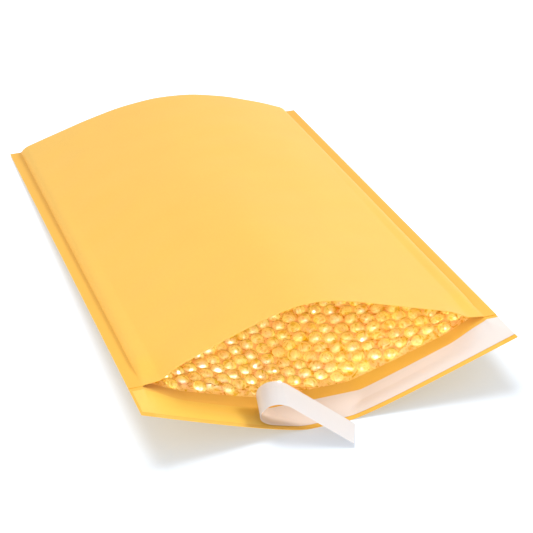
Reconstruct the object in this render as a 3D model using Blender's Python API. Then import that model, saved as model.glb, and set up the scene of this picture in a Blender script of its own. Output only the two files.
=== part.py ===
"""A padded envelope lying on a table, bowed so that its mouth gapes.

One kraft sheet is folded across the far end and sealed to itself down both sides, with a
bubble-film lining bonded inside. The back ply runs on past the mouth as a lip that carries an
adhesive strip, and the release liner over the strip is half peeled: its free end curls back
over itself and down to the table.

Metres. +Z up, +Y towards the closed end, -Y towards the mouth and lip, X across. The origin is
on the table under the middle of the envelope.
"""

import math

import bmesh
import bpy
from mathutils import Vector

# The flat envelope is 260 mm wide and 420 mm long, lip included. Bowing it draws the sealed
# edges in to WIDTH, and tilting them shortens their length over the table to LENGTH.
WIDTH = 0.248
LENGTH = 0.418
LIP = 0.0305
SEAL = 0.009

# Walls. The gaps keep the pieces of the laminate apart.
KRAFT = 0.0004
LINING = 0.0042
GAP = 0.0003
POCKET_SLACK = 0.0003
PAD = LINING + GAP + POCKET_SLACK
SHOULDER = 0.006
MOUTH_SETBACK = 0.0085

# The sealed edges lie in one plane that rises from the closed end to the lip.
SEAL_HEIGHT_FAR = 0.0022
SEAL_HEIGHT_LIP = 0.0384

# Rises of the two plies above the sealed edges, on their centre lines.
RISE_FAR = 0.028
RISE_FRONT_MOUTH = 0.0325
BACK_FALL = 0.128
BACK_FALL_CUBIC = 0.25
LIP_DROP = 0.0395

# Each ridge or valley lies a little to one side, as a share of the half width. At the mouth the
# front ply's rise stands on FRONT_SPREAD of that width.
RIDGE_SHIFT_FAR = 0.06
RIDGE_SHIFT_MOUTH = -0.045
FRONT_SPREAD = 0.90
VALLEY_SHIFT = -0.03
VALLEY_ROUNDING = 0.22
TABLE_ROUNDING = 0.0008

# The closure on the lip.
STRIP_WIDTH = 0.0235
STRIP_TO_LIP_EDGE = 0.0035
STRIP_INSET = 0.0015
ADHESIVE = 0.0003
LINER = 0.0003

# The peeled part of the liner: it leaves the lip at PEEL_X with the slope of the lip, turns over
# on CURL_RADIUS until it heads down at CURL_END degrees, and runs straight on for TAIL.
PEEL_X = -0.038
PEEL_SLOPE = 23
CURL_RADIUS = 0.0125
CURL_END = 214.4
TAIL = 0.0408
CURL_DRIFT = 0.030
TAIL_TWIST = Vector((-0.385, -0.908, 0.167))
FREE_END_REACH = 0.0246

LINER_LIFT = 2 * GAP + ADHESIVE
HALF = WIDTH / 2
HALF_IN = HALF - SEAL
Y_FAR = (LENGTH + FREE_END_REACH) / 2
Y_LIP = Y_FAR - LENGTH
Y_MOUTH = Y_LIP + LIP
BODY = LENGTH - LIP

KRAFT_COLOUR = (0.93, 0.60, 0.18)
LINING_COLOUR = (0.95, 0.50, 0.06)
ADHESIVE_COLOUR = (0.95, 0.70, 0.30)
LINER_COLOUR = (0.90, 0.86, 0.84)


def mix(a, b, t):
    return a + (b - a) * t


def clamp(t):
    return min(1.0, max(0.0, t))


def smooth(t):
    t = clamp(t)
    return t * t * (3.0 - 2.0 * t)


def quarter_round(t):
    """Height of a quarter ellipse: 0 at its foot, where it rises straight up, and 1 at its crown."""
    t = clamp(t)
    return math.sqrt(1.0 - (1.0 - t) ** 2)


def shifted(share, shift):
    """Share of the half width, from -1 to 1, bent so that its zero lies at about shift."""
    share = max(-1.0, min(1.0, share))
    return share - shift * (1.0 - share * share)


def seal_height(y):
    """Middle of the sealed edges at this place along the envelope."""
    return mix(SEAL_HEIGHT_FAR, SEAL_HEIGHT_LIP, (Y_FAR - y) / LENGTH)


def arch(share, shift):
    """A plain bow: a quarter cosine each way from the ridge."""
    return math.cos(math.pi / 2 * shifted(share, shift))


def valley(share, shift):
    """Two straight slopes that meet in a round bottom, from 0 at the edges to 1."""
    across = shifted(share, shift)
    top = math.sqrt(1.0 + VALLEY_ROUNDING**2)
    return (top - math.sqrt(across**2 + VALLEY_ROUNDING**2)) / (top - VALLEY_ROUNDING)


def front_rise(x, y):
    """The front ply above the sealed edges, without its padding."""
    along = clamp((Y_FAR - y) / BODY)
    share = x / HALF_IN
    mouth = valley(share / FRONT_SPREAD, RIDGE_SHIFT_MOUTH)
    shape = mix(arch(share, RIDGE_SHIFT_FAR), mouth, smooth(along))
    return mix(RISE_FAR, RISE_FRONT_MOUTH, along) * shape


def back_rise(x, y):
    """The back ply above the sealed edges, without its padding: a bow at the fold that turns
    into a valley at the mouth. Past the mouth the valley spreads over the seals too."""
    from_fold = Y_FAR - y
    share = x / mix(HALF_IN, HALF, smooth((Y_MOUTH - y) / LIP))
    shape = mix(arch(share, RIDGE_SHIFT_FAR), valley(share, VALLEY_SHIFT), smooth(from_fold / BODY))
    centre = RISE_FAR - BACK_FALL * from_fold - BACK_FALL_CUBIC * from_fold**3
    return max(centre, -LIP_DROP) * shape


def padding(x, y):
    """Depth of the lining under a ply: it stops at the seals in a round shoulder, rolls round the
    fold, and fades out along the lip."""
    shoulder = quarter_round((HALF_IN - abs(x)) / SHOULDER)
    fold = quarter_round((Y_FAR - y) / SHOULDER)
    lip = 1.0 - smooth((Y_MOUTH - y) / (0.8 * LIP))
    return PAD * shoulder * fold * lip


def above_table(z):
    """Height z, lying on the table where it would sink into it, with a round lift-off."""
    if z > TABLE_ROUNDING:
        return z
    return max(0.0, z + TABLE_ROUNDING) ** 2 / (4 * TABLE_ROUNDING)


def kraft_top(x, y):
    return seal_height(y) + front_rise(x, y) + padding(x, y) + KRAFT


def kraft_bottom(x, y):
    return above_table(seal_height(y) + back_rise(x, y) - padding(x, y) - KRAFT)


def lip_top(x, y):
    return kraft_bottom(x, y) + KRAFT


def across():
    """Places across the envelope: the edge, the seal, the shoulder, then even steps, with the
    place where the liner leaves the lip among them."""
    steps = (0.0, SEAL, SEAL + 0.0012, SEAL + 0.003, SEAL + SHOULDER)
    inner = [HALF - step for step in steps]
    middle = [mix(-inner[-1], inner[-1], i / 20) for i in range(21)]
    return sorted([-x for x in inner[:-1]] + middle + [PEEL_X] + inner[:-1])


def along():
    """Places along the envelope from the fold to the mouth: close together on the fold's round,
    with the lining's edge as the last but one."""
    first = [Y_FAR - step for step in (0.0, 0.0008, 0.0025, SHOULDER)]
    lining_edge = Y_MOUTH + MOUTH_SETBACK
    return first + [mix(first[-1], lining_edge, j / 18) for j in range(1, 19)] + [Y_MOUTH]


def lip_rows():
    """Places along the lip from the mouth to its edge, with the strip's two edges among them."""
    near = Y_LIP + STRIP_TO_LIP_EDGE
    strip = [mix(near + STRIP_WIDTH, near, j / 3) for j in range(4)]
    return [Y_MOUTH] + strip + [Y_LIP]


class PocketMesh:
    """Collects the points and faces of a pocket: an outer skin and an inner skin that share no
    edge except round the mouth."""

    def __init__(self):
        self.bm = bmesh.new()

    def grid(self, xs, ys, height):
        return [[self.bm.verts.new((x, y, height(x, y))) for y in ys] for x in xs]

    def face(self, *corners):
        kept = list(dict.fromkeys(corners))
        if len(kept) > 2:
            self.bm.faces.new(kept)

    def quads(self, grid, first, last):
        """Faces between neighbouring columns first to last of a grid."""
        for left, right in zip(grid[first:last], grid[first + 1 : last + 1]):
            for j in range(len(left) - 1):
                self.face(left[j], right[j], right[j + 1], left[j + 1])

    def strip(self, edge_a, edge_b):
        for j in range(len(edge_a) - 1):
            self.face(edge_a[j], edge_b[j], edge_b[j + 1], edge_a[j + 1])

    def finish(self, name, colour, roughness):
        bmesh.ops.recalc_face_normals(self.bm, faces=self.bm.faces[:])
        mesh = bpy.data.meshes.new(name)
        self.bm.to_mesh(mesh)
        self.bm.free()
        return add_object(name, mesh, colour, roughness)


def add_object(name, mesh, colour, roughness):
    obj = bpy.data.objects.new(name, mesh)
    bpy.context.scene.collection.objects.link(obj)
    material = bpy.data.materials.new(name)
    material.use_nodes = True
    shader = material.node_tree.nodes["Principled BSDF"]
    shader.inputs["Base Color"].default_value = (*colour, 1.0)
    shader.inputs["Roughness"].default_value = roughness
    material.diffuse_color = (*colour, 1.0)
    mesh.materials.append(material)
    mesh.shade_smooth()
    mesh.set_sharp_from_angle(angle=math.radians(30))
    return obj


def inner_skin(pocket, xs, ys, top_height, bottom_height):
    """The two inner grids. They meet on the first row and on both outer columns, where the plies
    close on each other, so those points are shared."""
    top = pocket.grid(xs, ys, top_height)
    bottom = pocket.grid(xs, ys, bottom_height)
    shared = [(i, 0) for i in range(len(xs))]
    shared += [(i, j) for i in (0, len(xs) - 1) for j in range(1, len(ys))]
    for i, j in shared:
        pocket.bm.verts.remove(bottom[i][j])
        bottom[i][j] = top[i][j]
        x, y = xs[i], ys[j]
        top[i][j].co.z = 0.5 * (top_height(x, y) + bottom_height(x, y))
    return top, bottom


def make_kraft_shell():
    """The folded and sealed kraft sheet with its lip."""
    xs, ys = across(), along()
    lip_ys = lip_rows()
    pocket = PocketMesh()
    top = pocket.grid(xs, ys, kraft_top)
    bottom = pocket.grid(xs, ys, kraft_bottom)
    inner_top, inner_bottom = inner_skin(
        pocket,
        xs[1:-1],
        ys[1:],
        lambda x, y: kraft_top(x, y) - KRAFT,
        lip_top,
    )
    lip_under = pocket.grid(xs, lip_ys[1:], kraft_bottom)
    lip_over = pocket.grid(xs, lip_ys[1:], lip_top)
    edge_over = [pocket.bm.verts.new((x, Y_MOUTH, lip_top(x, Y_MOUTH))) for x in (xs[0], xs[-1])]
    mouth = [edge_over[0]] + [column[-1] for column in inner_bottom] + [edge_over[1]]
    under = [[column[-1]] + more for column, more in zip(bottom, lip_under)]
    over = [[start] + more for start, more in zip(mouth, lip_over)]
    last = len(xs) - 1
    pocket.quads(top, 0, last)
    pocket.quads(bottom, 0, last)
    pocket.quads(inner_top, 0, last - 2)
    pocket.quads(inner_bottom, 0, last - 2)
    pocket.quads(under, 0, last)
    pocket.quads(over, 0, last)
    pocket.strip([column[0] for column in top], [column[0] for column in bottom])
    pocket.strip([column[-1] for column in over], [column[-1] for column in under])
    pocket.strip([column[-1] for column in top[1:-1]], [column[-1] for column in inner_top])
    for side, inward in ((0, 1), (last, last - 1)):
        pocket.strip(top[side][:-1], bottom[side][:-1])
        pocket.face(top[side][-2], top[side][-1], mouth[side], bottom[side][-1], bottom[side][-2])
        pocket.face(top[side][-1], top[inward][-1], mouth[inward], mouth[side])
        pocket.strip(over[side], under[side])
    return pocket.finish("kraft_shell", KRAFT_COLOUR, 0.7)


def make_bubble_lining():
    """The bubble film inside the kraft: one web, folded with it and welded at the seals."""
    xs, ys = across()[3:-3], along()[2:-1]
    pocket = PocketMesh()
    top = pocket.grid(xs, ys, lambda x, y: kraft_top(x, y) - KRAFT - GAP)
    bottom = pocket.grid(xs, ys, lambda x, y: lip_top(x, y) + GAP)
    inner_top, inner_bottom = inner_skin(
        pocket,
        xs[1:-1],
        ys[1:],
        lambda x, y: seal_height(y) + front_rise(x, y) + POCKET_SLACK,
        lambda x, y: lip_top(x, y) + GAP + mix(0.0008, LINING, padding(x, y) / PAD),
    )
    last = len(xs) - 1
    pocket.quads(top, 0, last)
    pocket.quads(bottom, 0, last)
    pocket.quads(inner_top, 0, last - 2)
    pocket.quads(inner_bottom, 0, last - 2)
    pocket.strip([column[0] for column in top], [column[0] for column in bottom])
    pocket.strip([column[-1] for column in top[1:-1]], [column[-1] for column in inner_top])
    pocket.strip([column[-1] for column in bottom[1:-1]], [column[-1] for column in inner_bottom])
    for side, inward, edge in ((0, 1, 0), (last, last - 1, -1)):
        pocket.strip(top[side], bottom[side])
        pocket.face(
            top[side][-1],
            top[inward][-1],
            inner_top[edge][-1],
            bottom[inward][-1],
            bottom[side][-1],
        )
    return pocket.finish("bubble_lining", LINING_COLOUR, 0.25)


def make_adhesive_strip():
    """The band of adhesive along the lip, from side to side."""
    xs, ys = across(), lip_rows()[1:-1]
    xs[0] += STRIP_INSET
    xs[-1] -= STRIP_INSET
    band = PocketMesh()
    over = band.grid(xs, ys, lambda x, y: lip_top(x, y) + GAP + ADHESIVE)
    under = band.grid(xs, ys, lambda x, y: lip_top(x, y) + GAP)
    close_slab(band, over, under)
    return band.finish("adhesive_strip", ADHESIVE_COLOUR, 0.3)


def close_slab(mesh, over, under):
    """Faces of a slab between two grids with the same places."""
    last = len(over) - 1
    mesh.quads(over, 0, last)
    mesh.quads(under, 0, last)
    for side in (0, last):
        mesh.strip(over[side], under[side])
    for end in (0, -1):
        mesh.strip([column[end] for column in over], [column[end] for column in under])


def curl_stations():
    """Centre, direction across and direction outwards of the peeled liner, from the lip on."""
    start = math.radians(PEEL_SLOPE)
    end = math.radians(CURL_END)
    middle = Y_LIP + STRIP_TO_LIP_EDGE + STRIP_WIDTH / 2
    foot = Vector((PEEL_X, middle, lip_top(PEEL_X, middle) + LINER_LIFT + LINER / 2))
    upright = CURL_RADIUS * (math.pi / 2 - start)
    turned = CURL_RADIUS * (end - start)
    total = turned + TAIL
    points = []
    for k in range(1, 19):
        run = turned * k / 14 if k <= 14 else turned + TAIL * (k - 14) / 4
        angle = min(start + run / CURL_RADIUS, end)
        tail = max(0.0, run - turned)
        x = -CURL_RADIUS * (math.sin(angle) - math.sin(start)) - tail * math.cos(end)
        z = CURL_RADIUS * (math.cos(start) - math.cos(angle)) + tail * math.sin(end)
        turn = clamp((run - upright) / (total - upright))
        points.append((foot + Vector((x, -CURL_DRIFT * turn**1.5, z)), turn))
    centres = [foot] + [point for point, turn in points]
    stations = []
    for k, (point, turn) in enumerate(points, start=1):
        ahead = (centres[min(k + 1, len(centres) - 1)] - centres[k - 1]).normalized()
        side = Vector((0.0, -1.0, 0.0)).lerp(TAIL_TWIST, smooth(turn))
        side = (side - ahead * side.dot(ahead)).normalized()
        stations.append((point, side, side.cross(ahead)))
    return stations


def make_release_liner():
    """The liner: stuck down from the right end to PEEL_X, then curled over itself."""
    xs = [x for x in across() if x >= PEEL_X]
    xs[-1] -= STRIP_INSET
    ys = lip_rows()[1:-1]
    web = PocketMesh()
    over = web.grid(xs, ys, lambda x, y: lip_top(x, y) + LINER_LIFT + LINER)
    under = web.grid(xs, ys, lambda x, y: lip_top(x, y) + LINER_LIFT)
    tilts = [lip_top(PEEL_X, y) - lip_top(PEEL_X, (ys[0] + ys[-1]) / 2) for y in ys]
    for k, (point, side, out) in enumerate(curl_stations()):
        hold = 1.0 - smooth((k + 1) / 7)
        for grid, offset in ((over, -LINER / 2), (under, LINER / 2)):
            centre = point + out * offset
            spread = [STRIP_WIDTH * (j / (len(ys) - 1) - 0.5) for j in range(len(ys))]
            grid.insert(
                0,
                [
                    web.bm.verts.new(centre + side * reach + Vector((0.0, 0.0, tilt * hold)))
                    for reach, tilt in zip(spread, tilts)
                ],
            )
    close_slab(web, over, under)
    return web.finish("release_liner", LINER_COLOUR, 0.45)


def main():
    for obj in list(bpy.data.objects):
        bpy.data.objects.remove(obj, do_unlink=True)
    make_kraft_shell()
    make_bubble_lining()
    make_adhesive_strip()
    make_release_liner()


main()
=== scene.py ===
"""The padded envelope, finished: kraft sheet, bubble-film lining, adhesive band and release liner.

Run as a script: it loads the frame, makes each piece over it, and sets the stage and camera.
Metres. +Z up, +Y towards the closed end of the envelope, -Y towards its mouth and lip.
"""

import math

import bpy
import numpy as np
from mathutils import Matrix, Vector


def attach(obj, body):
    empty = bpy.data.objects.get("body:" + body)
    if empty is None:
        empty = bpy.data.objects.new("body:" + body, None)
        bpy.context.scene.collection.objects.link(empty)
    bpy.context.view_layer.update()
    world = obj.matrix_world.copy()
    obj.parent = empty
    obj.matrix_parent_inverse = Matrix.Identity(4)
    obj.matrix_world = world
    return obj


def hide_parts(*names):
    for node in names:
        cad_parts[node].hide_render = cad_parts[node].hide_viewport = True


bl_info = {
    "name": "Padded Envelope",
    "version": (1, 0, 0),
    "blender": (4, 5, 0),
    "location": "3D View > Sidebar > Envelope",
    "description": "Makes an open padded envelope: kraft, bubble film, adhesive and liner",
    "category": "Add Mesh",
}

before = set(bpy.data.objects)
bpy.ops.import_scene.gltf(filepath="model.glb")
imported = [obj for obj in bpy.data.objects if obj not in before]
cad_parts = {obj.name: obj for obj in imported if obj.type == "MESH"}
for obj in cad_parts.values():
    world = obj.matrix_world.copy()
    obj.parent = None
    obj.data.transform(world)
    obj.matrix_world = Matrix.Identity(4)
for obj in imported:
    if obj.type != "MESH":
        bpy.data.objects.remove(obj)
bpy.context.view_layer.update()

# The shape that the envelope lies in. These match the part.
WIDTH = 0.248
LENGTH = 0.418
LIP = 0.0305
SEAL = 0.009
KRAFT = 0.0004
PAD = 0.0048
SHOULDER = 0.006
SEAL_HEIGHT_FAR = 0.0022
SEAL_HEIGHT_LIP = 0.0384
RISE_FAR = 0.028
RISE_FRONT_MOUTH = 0.0325
BACK_FALL = 0.128
BACK_FALL_CUBIC = 0.25
LIP_DROP = 0.0395
RIDGE_SHIFT_FAR = 0.06
RIDGE_SHIFT_MOUTH = -0.045
FRONT_SPREAD = 0.90
VALLEY_SHIFT = -0.03
VALLEY_ROUNDING = 0.22
TABLE_ROUNDING = 0.0008
STRIP_WIDTH = 0.0235
STRIP_TO_LIP_EDGE = 0.0035
STRIP_INSET = 0.0015
PEEL_X = -0.038
PEEL_SLOPE = 23
CURL_RADIUS = 0.0125
HALF = WIDTH / 2
HALF_IN = HALF - SEAL
Y_FAR = 0.2213
Y_LIP = Y_FAR - LENGTH
Y_MOUTH = Y_LIP + LIP
Y_LINING = Y_MOUTH + 0.0078
BODY = LENGTH - LIP
STRIP_MIDDLE = Y_LIP + STRIP_TO_LIP_EDGE + STRIP_WIDTH / 2

# The peeled liner rolls about a turned axis here, so its end differs from the part's.
CURL_END = 212
TAIL = 0.0485
CURL_SKEW = 12.7

# Finer parts that the part leaves out.
LINER_INSET = 0.0004
FILM_THICKNESS = 0.00005
FILM_GAP = 0.0004
FILM_EDGE_GAP = 0.00012
BAND_GAP = 0.00003
BAND_THICKNESS = 0.00005
BUBBLE_SINK = 0.0002
BUBBLES_FROM_EDGE = 0.006
BUBBLES_FROM_SEAL = 0.007
BUBBLES_FROM_FOLD = 0.008
DOME_POWER = 2.2

# The light's own numbers.
FLOOR_GLOW = 0.34
SKY_STRENGTH = 0.78
FLOOR_REACH = 9.0

# The view.
CAMERA_LENS = 103.95
CAMERA_AZIMUTH = -19.06
CAMERA_ELEVATION = 32.21
CAMERA_DISTANCE = 1.1237
CAMERA_TARGET = (0.0199, -0.0075, 0.0)


# ---------------------------------------------------------------- shape of the plies


def mix(a, b, t):
    """a + (b - a) t."""
    return a + (b - a) * t


def smooth(t):
    """3t^2 - 2t^3, with t held between 0 and 1."""
    t = np.clip(t, 0.0, 1.0)
    return t * t * (3.0 - 2.0 * t)


def quarter_round(t):
    """sqrt(1 - (1 - t)^2): 0 at 0, where it rises straight up, and 1 from t = 1 on."""
    return np.sqrt(1.0 - (1.0 - np.clip(t, 0.0, 1.0)) ** 2)


def shifted(share, shift):
    """s - d (1 - s^2): the share s of the half width, bent so that its zero lies near d."""
    share = np.clip(share, -1.0, 1.0)
    return share - shift * (1.0 - share * share)


def seal_height(y):
    """The sealed edges lie in a plane that rises evenly from the fold to the lip."""
    return mix(SEAL_HEIGHT_FAR, SEAL_HEIGHT_LIP, (Y_FAR - y) / LENGTH)


def arch(share, shift):
    """cos(90 degrees times the shifted share): a plain bow."""
    return np.cos(np.pi / 2 * shifted(share, shift))


def valley(share, shift):
    """(t - sqrt(s^2 + r^2)) / (t - r), t = sqrt(1 + r^2): two straight slopes with a bottom of
    roundness r, from 0 at the edges to 1."""
    across = shifted(share, shift)
    top = np.sqrt(1.0 + VALLEY_ROUNDING**2)
    return (top - np.sqrt(across**2 + VALLEY_ROUNDING**2)) / (top - VALLEY_ROUNDING)


def front_rise(x, y):
    """Front ply above the seals: an arch at the fold that turns into an upturned valley at the
    mouth, which stands on a little less than the whole width."""
    along = np.clip((Y_FAR - y) / BODY, 0.0, 1.0)
    share = x / HALF_IN
    mouth = valley(share / FRONT_SPREAD, RIDGE_SHIFT_MOUTH)
    return mix(RISE_FAR, RISE_FRONT_MOUTH, along) * mix(
        arch(share, RIDGE_SHIFT_FAR), mouth, smooth(along)
    )


def back_rise(x, y):
    """Back ply above the seals: an arch at the fold that turns into a valley at the mouth, on a
    centre line that falls as a first and a third power of the distance from the fold."""
    from_fold = Y_FAR - y
    share = x / mix(HALF_IN, HALF, smooth((Y_MOUTH - y) / LIP))
    shape = mix(arch(share, RIDGE_SHIFT_FAR), valley(share, VALLEY_SHIFT), smooth(from_fold / BODY))
    centre = RISE_FAR - BACK_FALL * from_fold - BACK_FALL_CUBIC * from_fold**3
    return np.maximum(centre, -LIP_DROP) * shape


def padding(x, y):
    """Depth of the lining: round shoulders at the seals and the fold, pinched flat in the corners
    of the mouth, and faded out along the lip."""
    shoulder = quarter_round((HALF_IN - np.abs(x)) / SHOULDER)
    fold = quarter_round((Y_FAR - y) / SHOULDER)
    lip = 1.0 - smooth((Y_MOUTH - y) / (0.8 * LIP))
    pinch = smooth((Y_MOUTH + 0.03 - y) / 0.03) * smooth((np.abs(x) - 0.088) / 0.024)
    return PAD * shoulder * fold * lip * (1.0 - 0.8 * pinch)


def above_table(z):
    """z, or where it would sink into the table 0, joined by (z + r)^2 / 4r between -r and r."""
    low = np.clip(z + TABLE_ROUNDING, 0.0, None) ** 2 / (4 * TABLE_ROUNDING)
    return np.where(z > TABLE_ROUNDING, z, low)


def waves(x, y, scale, seed):
    """Sum of five sine waves of random direction and phase and of about this length, from -1
    to 1."""
    rng = np.random.default_rng(seed)
    total = 0.0
    for _ in range(5):
        turn, phase = rng.uniform(0, 2 * np.pi, 2)
        length = scale * rng.uniform(0.7, 1.5)
        total = total + np.sin((x * np.cos(turn) + y * np.sin(turn)) * 2 * np.pi / length + phase)
    return total / 5


def paper_wave(x, y):
    """Slow unevenness of the paper, none at the seals: long waves, then shorter ones."""
    hold = smooth((HALF - np.abs(x)) / 0.03)
    return hold * (0.0006 * waves(x, y, 0.11, 3) + 0.00022 * waves(x, y, 0.036, 8))


def front_outer(x, y):
    """Outer face of the front ply."""
    return seal_height(y) + front_rise(x, y) + padding(x, y) + KRAFT + paper_wave(x, y)


def back_outer(x, y):
    """Outer face of the back ply and the lip."""
    return above_table(seal_height(y) + back_rise(x, y) - padding(x, y) - KRAFT)


def lip_top(x, y):
    """Inner face of the back ply, which is the top of the lip."""
    return back_outer(x, y) + KRAFT


# ---------------------------------------------------------------- meshes


def mesh_object(name, verts, quads, materials, uv=None, face_material=None):
    """A mesh object from an array of points and an array of faces, with one value of uv for each
    point."""
    mesh = bpy.data.meshes.new(name)
    verts = np.asarray(verts, dtype=np.float32)
    mesh.vertices.add(len(verts))
    mesh.vertices.foreach_set("co", verts.ravel())
    quads = np.asarray(quads, dtype=np.int32)
    sides = quads.shape[1]
    mesh.loops.add(quads.size)
    mesh.loops.foreach_set("vertex_index", quads.ravel())
    mesh.polygons.add(len(quads))
    mesh.polygons.foreach_set("loop_start", np.arange(len(quads), dtype=np.int32) * sides)
    mesh.update(calc_edges=True)
    if uv is not None:
        layer = mesh.uv_layers.new(name="flat")
        layer.data.foreach_set("uv", np.asarray(uv, dtype=np.float32)[quads.ravel()].ravel())
    for material in materials:
        mesh.materials.append(material)
    if face_material is not None:
        mesh.polygons.foreach_set("material_index", np.asarray(face_material, dtype=np.int32))
    mesh.validate()
    mesh.shade_smooth()
    mesh.set_sharp_from_angle(angle=math.radians(50))
    obj = bpy.data.objects.new(name, mesh)
    bpy.context.scene.collection.objects.link(obj)
    return obj


def grid_quads(rows, columns, first=0):
    """Quads of a grid of points stored row by row."""
    index = first + np.arange(rows * columns).reshape(rows, columns)
    corners = (index[:-1, :-1], index[:-1, 1:], index[1:, 1:], index[1:, :-1])
    return np.stack([c.ravel() for c in corners], axis=1)


def rim_quads(rows, columns, other):
    """Quads that join the border of a grid to the border of the same grid stored from other on."""
    index = np.arange(rows * columns).reshape(rows, columns)
    border = np.concatenate((index[0, :], index[1:, -1], index[-1, -2::-1], index[-2:0:-1, 0]))
    after = np.roll(border, -1)
    return np.stack((after, border, border + other, after + other), axis=1)


def slab(name, over, under, materials, uv=None):
    """A closed sheet between two grids of points: over faces up the grid's normal. Its upper face
    takes the first material, its lower face the last and its rim the first."""
    rows, columns = over.shape[:2]
    count = rows * columns
    top = grid_quads(rows, columns)
    bottom = grid_quads(rows, columns, count)[:, ::-1]
    rim = rim_quads(rows, columns, count)
    verts = np.concatenate((over.reshape(-1, 3), under.reshape(-1, 3)))
    kinds = np.concatenate(
        (
            np.zeros(len(top)),
            np.full(len(bottom), len(materials) - 1),
            np.zeros(len(rim)),
        )
    )
    if uv is not None:
        uv = np.concatenate((uv.reshape(-1, 2), uv.reshape(-1, 2)))
    return mesh_object(name, verts, np.concatenate((top, bottom, rim)), materials, uv, kinds)


def grid_normals(points):
    """Unit normals of a grid of points, from the cross product of its two directions."""
    along = np.gradient(points, axis=0)
    across = np.gradient(points, axis=1)
    normal = np.cross(across, along)
    return normal / np.linalg.norm(normal, axis=2, keepdims=True)


def places_across(half, count):
    """Places from -half to half, closer together near both ends: a straight run t with
    0.16 sin(pi t) added."""
    t = np.linspace(-1.0, 1.0, count)
    return half * (t + 0.16 * np.sin(np.pi * t))


def finish_piece(obj, node):
    """Fix a piece to the envelope's one body, in place of a node of the part."""
    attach(obj, "root")
    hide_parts(node)


# ---------------------------------------------------------------- materials


def new_material(name):
    """A material, its node tree and its Principled shader."""
    material = bpy.data.materials.new(name)
    material.use_nodes = True
    tree = material.node_tree
    shader = tree.nodes["Principled BSDF"]
    return material, tree, shader


def node(tree, kind, **settings):
    """A node of this kind. Settings with a name that is a socket's are given to that socket."""
    made = tree.nodes.new(kind)
    for name, value in settings.items():
        if hasattr(made, name):
            setattr(made, name, value)
        else:
            made.inputs[name.replace("_", " ")].default_value = value
    return made


def ramp(tree, value, stops):
    """A colour ramp over value with these (place, colour) stops."""
    made = tree.nodes.new("ShaderNodeValToRGB")
    elements = made.color_ramp.elements
    while len(elements) < len(stops):
        elements.new(0.5)
    for element, (place, colour) in zip(elements, stops):
        element.position = place
        element.color = (*colour, 1.0)
    tree.links.new(value, made.inputs["Fac"])
    return made.outputs["Color"]


def math_node(tree, operation, a, b=None, clamp=False):
    """One step of arithmetic on sockets or numbers."""
    made = tree.nodes.new("ShaderNodeMath")
    made.operation = operation
    made.use_clamp = clamp
    for socket, value in zip(made.inputs, (a, b)):
        if value is None:
            continue
        if isinstance(value, (int, float)):
            socket.default_value = value
        else:
            tree.links.new(value, socket)
    return made.outputs[0]


def blend_colours(tree, fac, a, b, mode="MIX"):
    """Two colours mixed. Each may be a socket or a colour, and fac a socket or a number."""
    made = tree.nodes.new("ShaderNodeMix")
    made.data_type = "RGBA"
    made.blend_type = mode
    for socket, value in ((made.inputs[0], fac), (made.inputs[6], a), (made.inputs[7], b)):
        if isinstance(value, (int, float)):
            socket.default_value = value
        elif isinstance(value, tuple):
            socket.default_value = (*value, 1.0)
        else:
            tree.links.new(value, socket)
    return made.outputs[2]


def paper_group():
    """Paper: its fibres and blotches, as a shade to multiply a colour by and a height."""
    name = "Paper fibres"
    if name in bpy.data.node_groups:
        return bpy.data.node_groups[name]
    tree = bpy.data.node_groups.new(name, "ShaderNodeTree")
    for socket, kind, default in (
        ("Coordinates", "NodeSocketVector", None),
        ("Fibre Scale", "NodeSocketFloat", 900.0),
        ("Blotch Scale", "NodeSocketFloat", 28.0),
        ("Contrast", "NodeSocketFloat", 0.08),
    ):
        made = tree.interface.new_socket(name=socket, in_out="INPUT", socket_type=kind)
        if default is not None:
            made.default_value = default
    tree.interface.new_socket(name="Shade", in_out="OUTPUT", socket_type="NodeSocketFloat")
    tree.interface.new_socket(name="Height", in_out="OUTPUT", socket_type="NodeSocketFloat")
    enter = tree.nodes.new("NodeGroupInput")
    leave = tree.nodes.new("NodeGroupOutput")
    stretch = node(tree, "ShaderNodeMapping", Scale=(1.0, 0.32, 1.0))
    tree.links.new(enter.outputs["Coordinates"], stretch.inputs["Vector"])
    fibres = node(tree, "ShaderNodeTexNoise", Detail=5.0, Roughness=0.62)
    tree.links.new(stretch.outputs[0], fibres.inputs["Vector"])
    tree.links.new(enter.outputs["Fibre Scale"], fibres.inputs["Scale"])
    blotches = node(tree, "ShaderNodeTexNoise", Detail=4.0, Roughness=0.55)
    tree.links.new(enter.outputs["Coordinates"], blotches.inputs["Vector"])
    tree.links.new(enter.outputs["Blotch Scale"], blotches.inputs["Scale"])
    both = math_node(
        tree,
        "ADD",
        math_node(tree, "MULTIPLY", fibres.outputs["Fac"], 0.55),
        math_node(tree, "MULTIPLY", blotches.outputs["Fac"], 0.45),
    )
    offset = math_node(tree, "MULTIPLY", math_node(tree, "SUBTRACT", both, 0.5), 2.0)
    depth = math_node(tree, "MULTIPLY", offset, enter.outputs["Contrast"])
    tree.links.new(math_node(tree, "ADD", depth, 1.0), leave.inputs["Shade"])
    tree.links.new(fibres.outputs["Fac"], leave.inputs["Height"])
    return tree


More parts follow.
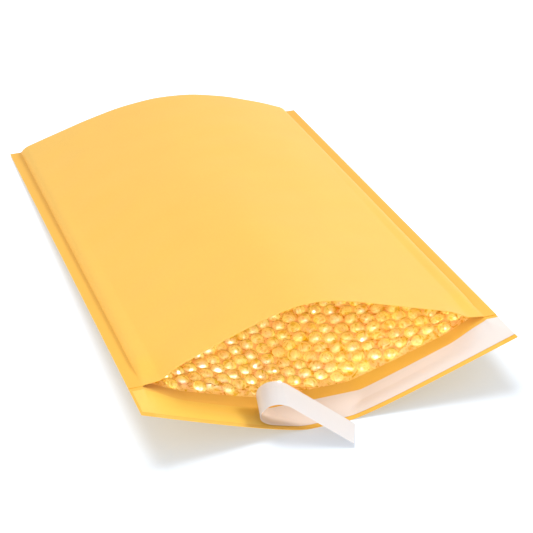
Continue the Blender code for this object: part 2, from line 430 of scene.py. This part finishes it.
def crinkle_group():
    """Crinkled film: ridges of noise at two sizes, as a height and a mask of the ridge lines."""
    name = "Film crinkles"
    if name in bpy.data.node_groups:
        return bpy.data.node_groups[name]
    tree = bpy.data.node_groups.new(name, "ShaderNodeTree")
    for socket, kind, default in (
        ("Coordinates", "NodeSocketVector", None),
        ("Scale", "NodeSocketFloat", 90.0),
        ("Sharpness", "NodeSocketFloat", 3.0),
    ):
        made = tree.interface.new_socket(name=socket, in_out="INPUT", socket_type=kind)
        if default is not None:
            made.default_value = default
    tree.interface.new_socket(name="Height", in_out="OUTPUT", socket_type="NodeSocketFloat")
    tree.interface.new_socket(name="Ridges", in_out="OUTPUT", socket_type="NodeSocketFloat")
    enter = tree.nodes.new("NodeGroupInput")
    leave = tree.nodes.new("NodeGroupOutput")
    noise = node(tree, "ShaderNodeTexNoise", Detail=4.0, Roughness=0.6, Distortion=0.8)
    tree.links.new(enter.outputs["Coordinates"], noise.inputs["Vector"])
    tree.links.new(enter.outputs["Scale"], noise.inputs["Scale"])
    middle = math_node(tree, "SUBTRACT", noise.outputs["Fac"], 0.5)
    fold = math_node(tree, "ABSOLUTE", middle)
    line = math_node(tree, "MULTIPLY", fold, enter.outputs["Sharpness"], clamp=True)
    ridge = math_node(tree, "SUBTRACT", 1.0, math_node(tree, "MULTIPLY", line, 2.0, clamp=True))
    tree.links.new(math_node(tree, "SUBTRACT", 1.0, fold), leave.inputs["Height"])
    tree.links.new(ridge, leave.inputs["Ridges"])
    return tree


def place_group(tree, group, coordinates, **values):
    """Group placed in a material, reading these coordinates, with its own values."""
    made = tree.nodes.new("ShaderNodeGroup")
    made.node_tree = group
    tree.links.new(coordinates, made.inputs["Coordinates"])
    for name, value in values.items():
        made.inputs[name.replace("_", " ")].default_value = value
    return made


def object_coordinates(tree):
    """The object's own coordinates, in metres."""
    return tree.nodes.new("ShaderNodeTexCoord").outputs["Object"]


def add_bump(tree, shader, height, strength, distance):
    """Let a height raise the shader's surface by up to distance."""
    made = node(tree, "ShaderNodeBump", Strength=strength, Distance=distance)
    tree.links.new(height, made.inputs["Height"])
    tree.links.new(made.outputs["Normal"], shader.inputs["Normal"])


def kraft_material(name, colour, contrast=0.09):
    """Kraft paper: fibres and blotches in its colour and its height, and a slight sheen. It is
    deeper in colour along the seals, where glue and a second ply lie under it."""
    material, tree, shader = new_material(name)
    coordinates = object_coordinates(tree)
    paper = place_group(tree, paper_group(), coordinates, Contrast=contrast)
    apart = tree.nodes.new("ShaderNodeSeparateXYZ")
    tree.links.new(coordinates, apart.inputs[0])
    seal = node(tree, "ShaderNodeMapRange", interpolation_type="SMOOTHSTEP")
    seal.inputs["From Min"].default_value = HALF_IN - 0.002
    seal.inputs["From Max"].default_value = HALF_IN + 0.002
    tree.links.new(math_node(tree, "ABSOLUTE", apart.outputs["X"]), seal.inputs["Value"])
    deep = tuple(c * k for c, k in zip(colour, (0.98, 0.91, 0.62)))
    ground = blend_colours(tree, seal.outputs[0], tuple(colour), deep)
    shade = blend_colours(tree, 1.0, ground, paper.outputs["Shade"], "MULTIPLY")
    tree.links.new(shade, shader.inputs["Base Color"])
    add_bump(tree, shader, paper.outputs["Height"], 0.25, 0.0002)
    shader.inputs["Roughness"].default_value = 0.62
    shader.inputs["Specular IOR Level"].default_value = 0.35
    shader.inputs["Sheen Weight"].default_value = 0.15
    return material


def film_material(name, colour, painted_glow, gloss, clear, rim):
    """Clear glossy film against kraft: the paper's colour through it, with crinkles. A painted
    glow, which is the film's own colour as emission, stands in for light caught in the film. The
    crinkles' ridge lines are painted pale as painted highlights. It covers by clear where it faces
    the eye and by rim where it turns away."""
    material, tree, shader = new_material(name)
    coordinates = object_coordinates(tree)
    crease = place_group(tree, crinkle_group(), coordinates, Scale=180.0)
    cloud = node(tree, "ShaderNodeTexNoise", Scale=140.0, Detail=2.0)
    tree.links.new(coordinates, cloud.inputs["Vector"])
    deep = tuple(c * k for c, k in zip(colour, (0.92, 0.66, 0.4)))
    body = ramp(tree, cloud.outputs["Fac"], ((0.35, deep), (0.62, tuple(colour))))
    # Painted highlight: the crinkles' ridge lines get this pale colour and more cover, in place of
    # light glinting on the wrinkles.
    ridge_highlight_colour = (1.0, 0.86, 0.50)
    ridge_highlight = math_node(tree, "MULTIPLY", crease.outputs["Ridges"], 0.45)
    shade = blend_colours(tree, ridge_highlight, body, ridge_highlight_colour)
    tree.links.new(shade, shader.inputs["Base Color"])
    # Painted glow: the film's colour is also its emission, standing in for light caught in the
    # film.
    tree.links.new(shade, shader.inputs["Emission Color"])
    shader.inputs["Emission Strength"].default_value = painted_glow
    shader.inputs["Roughness"].default_value = 0.055
    shader.inputs["Specular IOR Level"].default_value = gloss
    add_bump(tree, shader, crease.outputs["Height"], 0.6, 0.0008)
    facing = node(tree, "ShaderNodeLayerWeight", Blend=0.4)
    turned = math_node(tree, "POWER", facing.outputs["Facing"], 1.5)
    cover = math_node(tree, "MULTIPLY", turned, rim - clear)
    cover = math_node(tree, "ADD", cover, clear)
    cover = math_node(tree, "ADD", cover, ridge_highlight, clamp=True)
    tree.links.new(cover, shader.inputs["Alpha"])
    return material


def liner_material(name, colour):
    """Release liner: smooth coated paper with a faint grain."""
    material, tree, shader = new_material(name)
    paper = place_group(
        tree, paper_group(), object_coordinates(tree), Contrast=0.03, Fibre_Scale=700.0
    )
    shade = blend_colours(tree, 1.0, tuple(colour), paper.outputs["Shade"], "MULTIPLY")
    tree.links.new(shade, shader.inputs["Base Color"])
    add_bump(tree, shader, paper.outputs["Height"], 0.08, 0.0001)
    shader.inputs["Roughness"].default_value = 0.38
    shader.inputs["Specular IOR Level"].default_value = 0.4
    return material


def adhesive_material(name, colour):
    """Clear adhesive on kraft: its colour, a gloss, and streaks along the band."""
    material, tree, shader = new_material(name)
    coordinates = object_coordinates(tree)
    paper = place_group(tree, paper_group(), coordinates, Contrast=0.06)
    shade = blend_colours(tree, 1.0, tuple(colour), paper.outputs["Shade"], "MULTIPLY")
    tree.links.new(shade, shader.inputs["Base Color"])
    streak = node(tree, "ShaderNodeMapping", Scale=(0.12, 1.0, 1.0))
    tree.links.new(coordinates, streak.inputs["Vector"])
    crease = place_group(tree, crinkle_group(), streak.outputs[0], Scale=160.0)
    add_bump(tree, shader, crease.outputs["Height"], 0.12, 0.0004)
    shader.inputs["Roughness"].default_value = 0.34
    return material


# ---------------------------------------------------------------- settings


class EnvelopeSizes(bpy.types.PropertyGroup):
    """Sizes of the fine parts of the envelope."""

    bubble_pitch: bpy.props.FloatProperty(
        name="Bubble pitch",
        description="Distance between bubbles along a column",
        default=0.0104,
        min=0.004,
        unit="LENGTH",
    )
    column_pitch: bpy.props.FloatProperty(
        name="Column pitch",
        description="Distance between neighbouring columns of bubbles",
        default=0.0094,
        min=0.004,
        unit="LENGTH",
    )
    bubble_width: bpy.props.FloatProperty(
        name="Bubble width",
        description="Diameter of a bubble at its foot",
        default=0.0096,
        min=0.002,
        unit="LENGTH",
    )
    bubble_height: bpy.props.FloatProperty(
        name="Bubble height",
        description="Height of a bubble above the film",
        default=0.0042,
        min=0.0005,
        unit="LENGTH",
    )
    liner_thickness: bpy.props.FloatProperty(
        name="Liner thickness",
        description="Thickness of the release liner",
        default=0.00012,
        min=0.00005,
        unit="LENGTH",
    )
    edge_wrinkle: bpy.props.FloatProperty(
        name="Edge wrinkle",
        description="Height of the wrinkles along the lining's edge",
        default=0.0036,
        min=0.0,
        unit="LENGTH",
    )


def colour_property(name, description, default):
    return bpy.props.FloatVectorProperty(
        name=name, description=description, default=default, subtype="COLOR", min=0.0, max=1.0
    )


class EnvelopeColours(bpy.types.PropertyGroup):
    """Colours of the envelope and its stage."""

    kraft: colour_property("Kraft", "The paper's colour", (0.80, 0.452, 0.058))
    # Partly the kraft seen through the film, partly painted light: the bubbles' colour is painted
    # brighter and the flat film's darker, as painted shade in the gaps between the bubbles.
    film: colour_property("Bubbles", "Kraft seen through the bubbles", (1.0, 0.76, 0.04))
    web: colour_property("Flat film", "Kraft seen through the flat film", (0.95, 0.53, 0.01))
    adhesive: colour_property("Adhesive", "The adhesive band over the kraft", (0.83, 0.53, 0.09))
    liner: colour_property("Liner face", "The liner's printed side", (0.73, 0.66, 0.62))
    release: colour_property("Liner back", "The liner's release side", (0.63, 0.63, 0.645))
    floor: colour_property("Floor", "The floor and the air", (0.55, 0.62, 0.71))


def sizes():
    return bpy.context.scene.envelope_sizes


def colours():
    return bpy.context.scene.envelope_colours


# ---------------------------------------------------------------- kraft


def kraft_grid(columns, flat_rows, fold_rows):
    """Places along and across the folded sheet: y, and whether the row is on the front ply. From
    the mouth to the fold, round it as 1 - cos, and back along the back ply to the lip's edge."""
    front = np.linspace(Y_MOUTH, Y_FAR - SHOULDER, flat_rows)[:-1]
    turn = np.linspace(np.pi / 2, 0.0, fold_rows)
    round_in = Y_FAR - SHOULDER * (1.0 - np.sin(np.linspace(0.0, np.pi / 2, fold_rows)))
    back = np.linspace(Y_FAR - SHOULDER, Y_LIP, int(flat_rows * 1.1))[1:]
    y = np.concatenate((front, round_in, Y_FAR - SHOULDER * (1.0 - np.sin(turn)), back))
    is_front = np.arange(len(y)) < len(front) + fold_rows
    x = places_across(HALF, columns)
    return np.meshgrid(y, x, indexing="ij") + [np.repeat(is_front[:, None], columns, axis=1)]


class ENVELOPE_OT_kraft(bpy.types.Operator):
    """Make the folded kraft sheet: front ply, fold, back ply and lip, sealed down both sides"""

    bl_idname = "envelope.kraft"
    bl_label = "Kraft Sheet"

    def execute(self, context):
        y, x, is_front = kraft_grid(132, 150, 9)
        z = np.where(is_front, front_outer(x, y), back_outer(x, y))
        outer = np.stack((x, y, z), axis=2)
        inner = outer.copy()
        inner[:, :, 2] += np.where(is_front, -KRAFT, KRAFT) * 0.9
        inner[:, :, 1] = np.minimum(inner[:, :, 1], Y_FAR - KRAFT)
        flat = np.cumsum(np.abs(np.diff(y, axis=0, prepend=y[:1])), axis=0)
        uv = np.stack((x, flat), axis=2)
        kraft = kraft_material("Kraft outside", colours().kraft)
        inside = kraft_material("Kraft inside", colours().kraft, 0.05)
        obj = slab("kraft_sheet", outer, inner, [kraft, inside], uv)
        finish_piece(obj, "kraft_shell")
        return {"FINISHED"}


# ---------------------------------------------------------------- lining


def film_base(x, y, front):
    """Where the flat film lies: 0.4 mm inside the kraft of its ply, and almost down on it along
    the edge that shows on the back ply."""
    if front:
        return seal_height(y) + front_rise(x, y) + padding(x, y) + paper_wave(x, y) - FILM_GAP
    lie = mix(FILM_EDGE_GAP, FILM_GAP, smooth((y - Y_LINING) / 0.008))
    return lip_top(x, y) + lie


def film_wrinkles(x, y, front):
    """Wrinkles of the film near the mouth: thin ridges where a slow wave w crosses zero,
    (1 - |w| / 0.16)^1.5, with smaller ones between them. They run along the mouth, fade out over
    34 mm and are strongest towards the corners."""
    near = smooth(1.0 - (y - Y_LINING) / 0.034) * smooth((y - Y_LINING) / 0.004)
    sides = 0.35 + 0.65 * smooth((np.abs(x - 0.005) - 0.02) / 0.04)
    wave = waves(x * 0.55, y * 1.7 + 0.12 * x, 0.030, 5 + front)
    fine = waves(x * 0.9, y * 1.5 - 0.4 * x, 0.013, 15 + front)
    ridge = np.clip(1.0 - np.abs(wave) / 0.16, 0.0, 1.0) ** 1.5
    small = np.clip(1.0 - np.abs(fine) / 0.25, 0.0, 1.0)
    return near * sides * (ridge + 0.3 * small)


class ENVELOPE_OT_film(bpy.types.Operator):
    """Make the flat film of the lining on both plies, wrinkled along its edge at the mouth"""

    bl_idname = "envelope.film"
    bl_label = "Lining Film"

    def execute(self, context):
        wrinkle = sizes().edge_wrinkle
        # The flat film takes the darker colour, which is painted shade between the bubbles, and a
        # painted glow of 0.06.
        film = film_material("Lining film", colours().web, 0.06, 0.1, 0.6, 0.9)
        for front in (True, False):
            y = np.linspace(Y_FAR - 0.004, Y_LINING, 240)
            x = places_across(HALF_IN - 0.0012, 150)
            y, x = np.meshgrid(y, x, indexing="ij")
            lift = wrinkle * film_wrinkles(x, y, front)
            z = film_base(x, y, front) + lift * (-1.0 if front else 1.0)
            points = np.stack((x, y, z), axis=2)
            thick = np.array((0.0, 0.0, FILM_THICKNESS))
            name = "front_film" if front else "back_film"
            obj = slab(name, points[::-1], points[::-1] - thick, [film])
            finish_piece(obj, "bubble_lining")
        return {"FINISHED"}


def bubble_places():
    """Centres of the bubbles of a ply: columns along the envelope, each second one moved on by
    half a pitch."""
    size = sizes()
    reach = HALF_IN - BUBBLES_FROM_SEAL
    column = np.arange(-int(reach / size.column_pitch), int(reach / size.column_pitch) + 1)
    row = np.arange(int((BODY - 0.018) / size.bubble_pitch))
    column, row = np.meshgrid(column, row, indexing="ij")
    x = column * size.column_pitch
    y = Y_LINING + BUBBLES_FROM_EDGE + (row + 0.5 * (column % 2)) * size.bubble_pitch
    x, y = x.ravel(), y.ravel()
    keep = y < Y_FAR - BUBBLES_FROM_FOLD
    return x[keep], y[keep]


def dome_profile(rings):
    """Radius and height shares of a bubble from foot to crown: a superellipse r^2.2 + h^2.2 = 1."""
    t = np.linspace(0.0, np.pi / 2, rings)
    return np.cos(t) ** (2 / DOME_POWER), np.sin(t) ** (2 / DOME_POWER)


class ENVELOPE_OT_bubbles(bpy.types.Operator):
    """Make the air bubbles of the lining on both plies"""

    bl_idname = "envelope.bubbles"
    bl_label = "Bubbles"

    def execute(self, context):
        # The bubbles take the brighter colour, which is painted light, and a painted glow of 0.11,
        # stronger than the flat film's.
        film = film_material("Bubble film", colours().film, 0.11, 0.2, 0.5, 1.0)
        for front in (True, False):
            obj = self.ply(front, film)
            finish_piece(obj, "bubble_lining")
        return {"FINISHED"}

    def ply(self, front, film):
        """One mesh of domes. Each point is centre + radius (cos a, sin a) along the sheet + height
        along its normal, with a few percent of random size, lean and dents."""
        size = sizes()
        rng = np.random.default_rng(21 + front)
        cx, cy = bubble_places()
        count = len(cx)
        around, rings = 12, 5
        share, rise = dome_profile(rings)
        angle = np.arange(around) * 2 * np.pi / around
        radius = size.bubble_width / 2 * rng.uniform(0.93, 1.02, count)
        height = size.bubble_height * rng.uniform(0.8, 1.0, count)
        dent = 1.0 + rng.uniform(-0.05, 0.05, (count, rings, around))
        lean = rng.uniform(-0.0005, 0.0005, (count, 2, 1, 1))
        r = radius[:, None, None] * share[None, :, None] * dent
        px = cx[:, None, None] + r * np.cos(angle) + lean[:, 0] * rise[None, :, None]
        py = cy[:, None, None] + r * np.sin(angle) + lean[:, 1] * rise[None, :, None]
        h = height[:, None, None] * rise[None, :, None] * (1.0 + 0.4 * (dent - 1.0)) - BUBBLE_SINK
        crown = np.stack((cx + lean[:, 0, 0, 0], cy + lean[:, 1, 0, 0]), axis=1)
        step = 0.0005
        slope_x = (film_base(cx + step, cy, front) - film_base(cx - step, cy, front)) / (2 * step)
        slope_y = (film_base(cx, cy + step, front) - film_base(cx, cy - step, front)) / (2 * step)
        sign = -1.0 if front else 1.0
        normal = np.stack((-slope_x, -slope_y, np.ones(count)), axis=1) * sign
        normal /= np.linalg.norm(normal, axis=1, keepdims=True)
        foot = np.stack((px, py, film_base(px, py, front)), axis=3)
        rings_at = foot + normal[:, None, None, :] * h[..., None]
        crown_z = film_base(crown[:, 0], crown[:, 1], front)
        top = np.column_stack((crown, crown_z)) + normal * height[:, None]
        base = np.stack((cx, cy, film_base(cx, cy, front)), axis=1) - normal * BUBBLE_SINK
        per = (rings - 1) * around + 2
        verts = np.concatenate(
            (rings_at[:, :-1].reshape(count, -1, 3), top[:, None], base[:, None]), axis=1
        )
        ring = np.arange(rings - 2)[:, None] * around
        a = np.arange(around)
        b = (a + 1) % around
        sides = np.stack(
            (ring + a, ring + b, ring + around + b, ring + around + a), axis=2
        ).reshape(-1, 4)
        last = (rings - 2) * around
        crown_id, base_id = per - 2, per - 1
        caps = np.stack((last + a, last + b, np.full(around, crown_id)), axis=1)
        under = np.stack((b, a, np.full(around, base_id)), axis=1)
        split = np.concatenate((sides[:, (0, 1, 2)], sides[:, (0, 2, 3)], caps, under))
        if front:
            split = split[:, ::-1]
        faces = (np.arange(count) * per)[:, None, None] + split[None]
        name = "front_bubbles" if front else "back_bubbles"
        return mesh_object(name, verts.reshape(-1, 3), faces.reshape(-1, 3), [film])


# ---------------------------------------------------------------- closure on the lip


class ENVELOPE_OT_adhesive(bpy.types.Operator):
    """Make the band of adhesive along the lip"""

    bl_idname = "envelope.adhesive"
    bl_label = "Adhesive Band"

    def execute(self, context):
        x = np.linspace(-HALF + STRIP_INSET, HALF - STRIP_INSET, 260)
        y = STRIP_MIDDLE + STRIP_WIDTH * np.linspace(0.5, -0.5, 14)
        y, x = np.meshgrid(y[::-1], x, indexing="ij")
        over = np.stack((x, y, lip_top(x, y) + BAND_GAP + BAND_THICKNESS), axis=2)
        under = np.stack((x, y, lip_top(x, y) + BAND_GAP), axis=2)
        band = adhesive_material("Adhesive", colours().adhesive)
        obj = slab("adhesive_band", over, under, [band])
        finish_piece(obj, "adhesive_strip")
        return {"FINISHED"}


def curl_profile(run):
    """Forward and upward travel of the peeled liner over its run: an arc of the curl radius from
    the lip's slope on, R (sin - sin0) and R (cos0 - cos), then straight on."""
    start, end = math.radians(PEEL_SLOPE), math.radians(CURL_END)
    turned = CURL_RADIUS * (end - start)
    angle = start + np.clip(run, 0.0, turned) / CURL_RADIUS
    tail = np.maximum(run - turned, 0.0)
    forward = CURL_RADIUS * (np.sin(angle) - np.sin(start)) + tail * np.cos(end)
    upward = CURL_RADIUS * (np.cos(start) - np.cos(angle)) + tail * np.sin(end)
    return forward, upward, turned + TAIL


def liner_surface(length, reach):
    """The liner's middle at a length from PEEL_X towards -X and a reach from its middle line
    towards -Y. It is rolled about a level axis turned by the skew: what lies ahead of the peel
    line keeps its place along the axis and follows the profile across it."""
    skew = math.radians(CURL_SKEW)
    ahead = length * math.cos(skew) - reach * math.sin(skew)
    along = length * math.sin(skew) + reach * math.cos(skew)
    forward, upward, _ = curl_profile(ahead)
    stuck = ahead < 0.0
    forward = np.where(stuck, ahead, forward)
    x = PEEL_X - forward * math.cos(skew) - along * math.sin(skew)
    y = STRIP_MIDDLE + forward * math.sin(skew) - along * math.cos(skew)
    line_x = PEEL_X - along * math.sin(skew)
    line_y = STRIP_MIDDLE - along * math.cos(skew)
    level = lip_top(np.full_like(line_x, PEEL_X), np.full_like(line_y, STRIP_MIDDLE))
    foot = mix(lip_top(line_x, line_y), level, smooth(ahead / 0.02))
    lift = mix(0.0003, 0.0008, smooth((ahead + 0.03) / 0.03))
    z = np.where(stuck, lip_top(x, y), foot + upward) + lift
    return np.stack((x, y, z), axis=2)


class ENVELOPE_OT_liner(bpy.types.Operator):
    """Make the release liner: stuck down on the right, then curled over itself"""

    bl_idname = "envelope.liner"
    bl_label = "Release Liner"

    def execute(self, context):
        thick = sizes().liner_thickness
        _, _, peeled = curl_profile(np.zeros(1))
        length = np.concatenate(
            (
                np.linspace(PEEL_X - HALF + LINER_INSET, -0.008, 130),
                np.linspace(-0.008, peeled, 120)[1:],
            )
        )
        reach = STRIP_WIDTH * np.linspace(-0.5, 0.5, 20)
        centre = liner_surface(*np.meshgrid(length, reach, indexing="ij"))
        out = grid_normals(centre)
        face = liner_material("Liner face", colours().liner)
        back = liner_material("Liner back", colours().release)
        over, under = centre + out * thick / 2, centre - out * thick / 2
        obj = slab("release_liner_web", over, under, [back, face])
        finish_piece(obj, "release_liner")
        return {"FINISHED"}


# ---------------------------------------------------------------- stage


def area_light(name, place, aim, size, power, gloss_only=False):
    """A rectangle of light at a place, facing its aim. It may show in gloss alone."""
    light = bpy.data.lights.new(name, "AREA")
    light.shape = "RECTANGLE"
    light.size, light.size_y = size
    light.energy = power
    obj = bpy.data.objects.new(name, light)
    obj.location = place
    obj.visible_diffuse = not gloss_only
    obj.rotation_mode = "QUATERNION"
    obj.rotation_quaternion = (Vector(aim) - Vector(place)).to_track_quat("-Z", "Y")
    bpy.context.scene.collection.objects.link(obj)
    return obj


def light_only(name, lights, pieces):
    """Let the lights fall on these pieces alone."""
    group = bpy.data.collections.new(name)
    for piece in pieces:
        group.objects.link(piece)
    for light in lights:
        light.light_linking.receiver_collection = group


class ENVELOPE_OT_stage(bpy.types.Operator):
    """Make the floor, the light and the camera"""

    bl_idname = "envelope.stage"
    bl_label = "Stage"

    def execute(self, context):
        scene = context.scene
        floor, tree, shader = new_material("Floor")
        shader.inputs["Base Color"].default_value = (*colours().floor, 1.0)
        shader.inputs["Roughness"].default_value = 0.9
        shader.inputs["Specular IOR Level"].default_value = 0.0
        shader.inputs["Emission Color"].default_value = (1.0, 1.0, 1.0, 1.0)
        shader.inputs["Emission Strength"].default_value = FLOOR_GLOW
        reach = FLOOR_REACH
        corners = [(-reach, -reach, 0), (reach, -reach, 0), (reach, reach, 0), (-reach, reach, 0)]
        obj = mesh_object("floor", corners, [(0, 1, 2, 3)], [floor])
        mouth = (0.0, Y_MOUTH + 0.02, 0.02)
        key = area_light("key", (1.3, -0.1, 1.2), (0, 0, 0), (0.5, 0.5), 20.0)
        left = area_light("left", (-1.4, -0.5, 0.6), (0, 0, 0), (0.7, 0.7), 8.0)
        front = area_light("front", (-0.5, -1.6, 0.6), (0, -0.2, 0), (0.6, 0.6), 9.0)
        above = area_light("above", (-0.15, 0.35, 1.5), (0, 0, 0), (0.9, 0.9), 26.0)
        glints = [
            area_light("glint_left", (-1.1, -1.4, 0.75), mouth, (0.15, 0.8), 720.0, True),
            area_light("glint_middle", (0.0, -1.8, 0.95), mouth, (0.12, 0.7), 520.0, True),
            area_light("glint_right", (0.7, -1.6, 0.7), mouth, (0.15, 0.8), 420.0, True),
        ]
        pieces = [piece for piece in bpy.data.objects if piece.type == "MESH" and piece != obj]
        films = [piece for piece in pieces if "film" in piece.name or "bubbles" in piece.name]
        light_only("Lit envelope", [key, left, front], pieces)
        light_only("Lit floor", [above], [obj])
        light_only("Lit film", glints, films)
        world = bpy.data.worlds.new("Air")
        world.use_nodes = True
        sky = world.node_tree.nodes["Background"]
        sky.inputs["Color"].default_value = (1.0, 1.0, 1.0, 1.0)
        sky.inputs["Strength"].default_value = SKY_STRENGTH
        scene.world = world
        scene.view_settings.view_transform = "Standard"
        camera = bpy.data.cameras.new("camera")
        camera.lens = CAMERA_LENS
        camera.sensor_width = 36.0
        camera.clip_start, camera.clip_end = 0.05, 30.0
        eye = bpy.data.objects.new("camera", camera)
        azimuth, elevation = math.radians(CAMERA_AZIMUTH), math.radians(CAMERA_ELEVATION)
        away = Vector(
            (
                math.sin(azimuth) * math.cos(elevation),
                -math.cos(azimuth) * math.cos(elevation),
                math.sin(elevation),
            )
        )
        eye.location = Vector(CAMERA_TARGET) + away * CAMERA_DISTANCE
        eye.rotation_mode = "QUATERNION"
        eye.rotation_quaternion = (-away).to_track_quat("-Z", "Y")
        scene.collection.objects.link(eye)
        scene.camera = eye
        return {"FINISHED"}


PIECES = (
    ENVELOPE_OT_kraft,
    ENVELOPE_OT_film,
    ENVELOPE_OT_bubbles,
    ENVELOPE_OT_adhesive,
    ENVELOPE_OT_liner,
    ENVELOPE_OT_stage,
)


class ENVELOPE_PT_panel(bpy.types.Panel):
    """Lists the envelope's pieces, sizes and colours"""

    bl_idname = "ENVELOPE_PT_panel"
    bl_label = "Padded Envelope"
    bl_space_type = "VIEW_3D"
    bl_region_type = "UI"
    bl_category = "Envelope"

    def draw(self, context):
        column = self.layout.column(align=True)
        for piece in PIECES:
            column.operator(piece.bl_idname)
        for settings in (context.scene.envelope_sizes, context.scene.envelope_colours):
            box = self.layout.box()
            for name in settings.__annotations__:
                box.prop(settings, name)


CLASSES = (EnvelopeSizes, EnvelopeColours, *PIECES, ENVELOPE_PT_panel)


def register():
    """Add the settings, the operators and the panel."""
    for cls in CLASSES:
        bpy.utils.register_class(cls)
    bpy.types.Scene.envelope_sizes = bpy.props.PointerProperty(type=EnvelopeSizes)
    bpy.types.Scene.envelope_colours = bpy.props.PointerProperty(type=EnvelopeColours)


def unregister():
    """Take away all that register adds."""
    del bpy.types.Scene.envelope_colours
    del bpy.types.Scene.envelope_sizes
    for cls in reversed(CLASSES):
        bpy.utils.unregister_class(cls)


def main():
    """Make every piece and the stage."""
    register()
    for piece in PIECES:
        group, name = piece.bl_idname.split(".")
        getattr(getattr(bpy.ops, group), name)()


if __name__ == "__main__":
    main()
